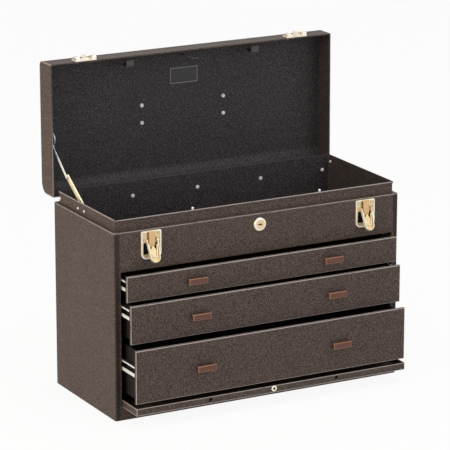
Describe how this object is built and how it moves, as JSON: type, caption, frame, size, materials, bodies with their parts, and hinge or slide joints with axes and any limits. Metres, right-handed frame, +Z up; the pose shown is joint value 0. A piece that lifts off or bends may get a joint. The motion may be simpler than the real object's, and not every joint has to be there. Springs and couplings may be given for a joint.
{
  "type": "machinist tool chest",
  "caption": "Steel tool chest, brown wrinkle finish: hinged lid over a top till, felt-lined drawers on slides, two draw latches, key lock and a front panel stowed below.",
  "frame": {"origin": "centre of the case's flat underside", "axes": "+X to the right, -Y out of the drawer fronts, +Z up"},
  "size_m": [0.511, 0.3278, 0.5394],
  "materials": {
    "case_paint": "brown wrinkle enamel, matte",
    "felt": "short-pile felt",
    "nickel": "bright nickel plate",
    "zinc": "bright zinc plate",
    "brass_plate": "light brass plate",
    "pull_bronze": "red-brown, semi-gloss",
    "pad_rubber": "grey rubber",
    "handle_plastic": "dark brown moulding",
    "label_metal": "dark blank plate"
  },
  "bodies": {
    "case": {"case_body": "case_paint", "case_back": "case_paint", "case_bottom": "case_paint", "top_rim": "case_paint", "till_pan": "case_paint", "till_felt": "felt", "hinge_case_leaf": "case_paint", "hinge_pin": "zinc", "case_rivets": "nickel", "pin_guides": "zinc", "panel_guides": "zinc", "stay_case_bracket": "zinc", "lock_housing": "nickel", "lock_nut": "zinc", "latch_base_left": "nickel", "latch_base_right": "nickel", "latch_pins": "nickel", "case_rails": "zinc"},
    "lid": {"lid_shell": "case_paint", "lid_end_left": "case_paint", "lid_end_right": "case_paint", "hinge_lid_leaf": "case_paint", "lid_rivets": "nickel", "lid_catch_left": "nickel", "lid_catch_right": "nickel", "lid_strikers": "case_paint", "lid_pads": "pad_rubber", "lid_lock_strike": "case_paint", "label_plate": "label_metal", "stay_lid_bracket": "zinc", "handle_brackets": "nickel"},
    "handle": {"handle_bar": "nickel", "handle_grip": "handle_plastic"},
    "latch_lever_left": {"latch_lever_left": "nickel"},
    "latch_lever_right": {"latch_lever_right": "nickel"},
    "latch_bail_left": {"latch_bail_left": "nickel"},
    "latch_bail_right": {"latch_bail_right": "nickel"},
    "lock_plug": {"lock_plug": "brass_plate", "lock_cam": "zinc"},
    "panel_pin_left": {"panel_pin_left": "zinc"},
    "panel_pin_right": {"panel_pin_right": "zinc"},
    "front_panel": {"front_panel": "case_paint", "panel_eyelet": "nickel"},
    "stay_lower": {"stay_lower_link": "brass_plate"},
    "stay_upper": {"stay_upper_link": "zinc"},
    "drawer_1": {"drawer_1_front": "case_paint", "drawer_1_box": "case_paint", "drawer_1_felt": "felt", "drawer_1_pulls": "pull_bronze", "drawer_1_slides": "zinc"},
    "drawer_2": {"drawer_2_front": "case_paint", "drawer_2_box": "case_paint", "drawer_2_felt": "felt", "drawer_2_pulls": "pull_bronze", "drawer_2_slides": "zinc"},
    "drawer_3": {"drawer_3_front": "case_paint", "drawer_3_box": "case_paint", "drawer_3_felt": "felt", "drawer_3_pulls": "pull_bronze", "drawer_3_slides": "zinc"}
  },
  "joints": [
    {"name": "lid_hinge", "type": "hinge", "parent": "case", "child": "lid", "pos_m": [0, 0.1118, 0.3065], "axis": [-1, 0, 0], "range_deg": [-90.5, 0]},
    {"name": "handle_pivot", "type": "hinge", "parent": "lid", "child": "handle", "pos_m": [0, 0.15877, 0.41789], "axis": [1, 0, 0], "range_deg": [0, 180]},
    {"name": "latch_lever_left", "type": "hinge", "parent": "case", "child": "latch_lever_left", "pos_m": [-0.1925, -0.1134, 0.287], "axis": [-1, 0, 0], "range_deg": [-22, 77.5]},
    {"name": "latch_bail_left", "type": "hinge", "parent": "latch_lever_left", "child": "latch_bail_left", "pos_m": [-0.1925, -0.11646, 0.27961], "axis": [-1, 0, 0], "range_deg": [0, 90]},
    {"name": "latch_lever_right", "type": "hinge", "parent": "case", "child": "latch_lever_right", "pos_m": [0.1925, -0.1134, 0.287], "axis": [-1, 0, 0], "range_deg": [-22, 77.5]},
    {"name": "latch_bail_right", "type": "hinge", "parent": "latch_lever_right", "child": "latch_bail_right", "pos_m": [0.1925, -0.11646, 0.27961], "axis": [-1, 0, 0], "range_deg": [0, 90]},
    {"name": "lock_turn", "type": "hinge", "parent": "case", "child": "lock_plug", "pos_m": [0, -0.098, 0.286], "axis": [0, -1, 0], "range_deg": [0, 90]},
    {"name": "panel_pin_left", "type": "slide", "parent": "case", "child": "panel_pin_left", "axis": [0, 0, 1], "range_m": [-0.0203, 0]},
    {"name": "panel_pin_right", "type": "slide", "parent": "case", "child": "panel_pin_right", "axis": [0, 0, 1], "range_m": [-0.0203, 0]},
    {"name": "panel_slide", "type": "slide", "parent": "case", "child": "front_panel", "axis": [0, -1, 0], "range_m": [-0.05, 0.11]},
    {"name": "drawer_1_slide", "type": "slide", "parent": "case", "child": "drawer_1", "axis": [0, -1, 0], "range_m": [-0.031, 0.129]},
    {"name": "drawer_2_slide", "type": "slide", "parent": "case", "child": "drawer_2", "axis": [0, -1, 0], "range_m": [-0.0434, 0.1166]},
    {"name": "drawer_3_slide", "type": "slide", "parent": "case", "child": "drawer_3", "axis": [0, -1, 0], "range_m": [-0.0596, 0.1004]},
    {"name": "stay_lower_pivot", "type": "hinge", "parent": "case", "child": "stay_lower", "pos_m": [-0.2435, 0.0185, 0.31], "axis": [-1, 0, 0], "range_deg": [0, 19.8]},
    {"name": "stay_upper_pivot", "type": "hinge", "parent": "lid", "child": "stay_upper", "pos_m": [-0.246, 0.13202, 0.38853], "axis": [-1, 0, 0], "range_deg": [-51.26, 0]}
  ],
  "couplings": [
    {"joint": "panel_pin_left", "follows": "lid_hinge", "m_per_rad": 0.012852},
    {"joint": "panel_pin_right", "follows": "lid_hinge", "m_per_rad": 0.012852},
    {"joint": "stay_lower_pivot", "follows": "lid_hinge", "ratio": -0.2187},
    {"joint": "stay_upper_pivot", "follows": "lid_hinge", "ratio": 0.56633}
  ]
}
